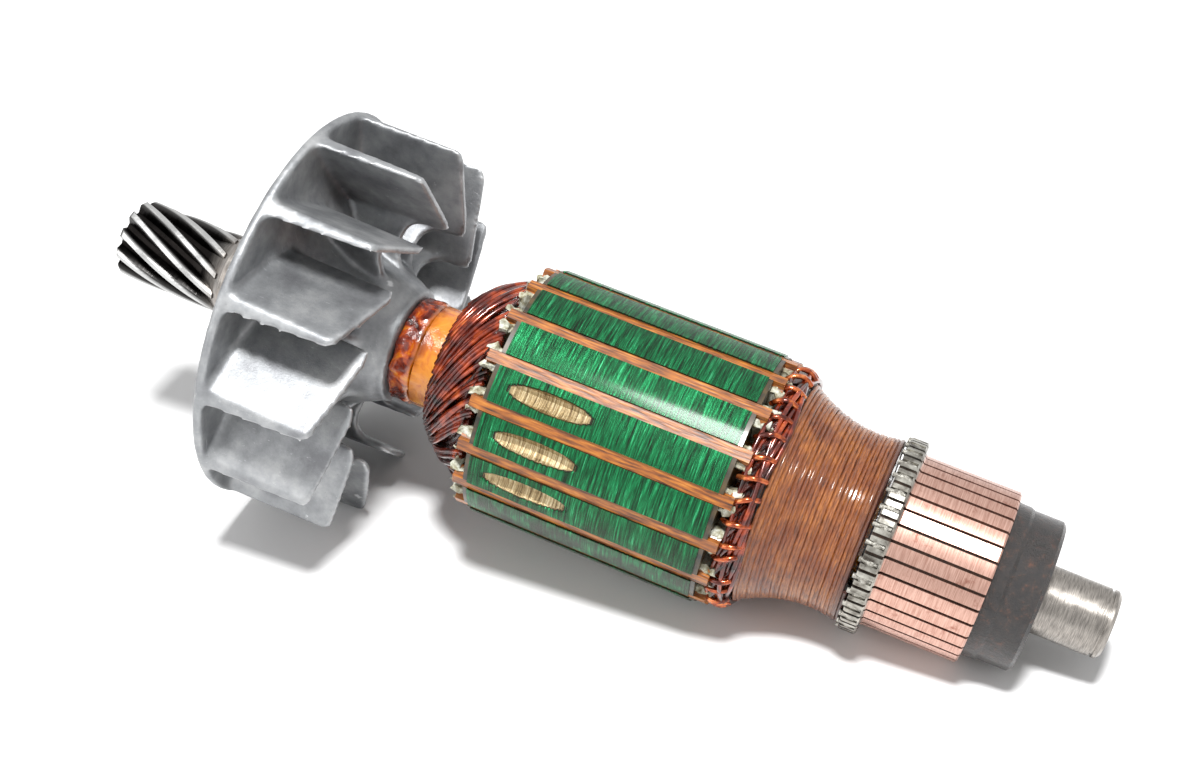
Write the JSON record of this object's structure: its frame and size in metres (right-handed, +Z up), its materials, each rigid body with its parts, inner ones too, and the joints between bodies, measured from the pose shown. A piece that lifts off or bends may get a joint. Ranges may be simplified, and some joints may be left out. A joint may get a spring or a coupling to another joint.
{
  "type": "motor armature",
  "caption": "Wound armature of a power tool motor: helical pinion, cast cooling fan, green laminated core, bound leads and copper commutator on one steel shaft.",
  "frame": {"origin": "centre of the footprint, on the floor that the armature lies on", "axes": "+X runs along the lying shaft from the pinion to the commutator journal and the shaft dips towards it, +Z is up, +Y completes the right-handed frame"},
  "size_m": [0.1848, 0.0724, 0.0735],
  "materials": {
    "shaft": "ground steel, darkened by oil",
    "bearing_spacer": "turned steel with rust bloom",
    "fan": "as-cast aluminium",
    "sleeve_collar": "varnished moulding",
    "insulating_sleeve": "varnished moulding",
    "core": "green insulating varnish over laminated steel",
    "fan_end_plate": "vulcanised fibre",
    "commutator_end_plate": "vulcanised fibre",
    "slot_liners": "insulating paper",
    "lower_coil_sides": "enamelled copper wire",
    "upper_coil_sides": "enamelled copper wire",
    "slot_separators": "insulating paper",
    "slot_wedges": "varnished fibre",
    "fan_end_winding": "enamelled copper wire",
    "commutator_end_winding": "enamelled copper wire",
    "lead_tape": "woven cotton tape",
    "binding_cord": "varnished cotton cord",
    "lead_ends": "tinned copper",
    "commutator_bars": "turned copper",
    "mica_segments": "pressed mica",
    "commutator_body": "phenolic moulding",
    "commutator_bush": "drawn steel tube"
  },
  "bodies": {
    "root": {"shaft": "shaft", "bearing_spacer": "bearing_spacer", "fan": "fan", "sleeve_collar": "sleeve_collar", "insulating_sleeve": "insulating_sleeve", "core": "core", "fan_end_plate": "fan_end_plate", "commutator_end_plate": "commutator_end_plate", "slot_liners": "slot_liners", "lower_coil_sides": "lower_coil_sides", "upper_coil_sides": "upper_coil_sides", "slot_separators": "slot_separators", "slot_wedges": "slot_wedges", "fan_end_winding": "fan_end_winding", "commutator_end_winding": "commutator_end_winding", "lead_tape": "lead_tape", "binding_cord": "binding_cord", "lead_ends": "lead_ends", "commutator_bars": "commutator_bars", "mica_segments": "mica_segments", "commutator_body": "commutator_body", "commutator_bush": "commutator_bush"}
  },
  "joints": []
}
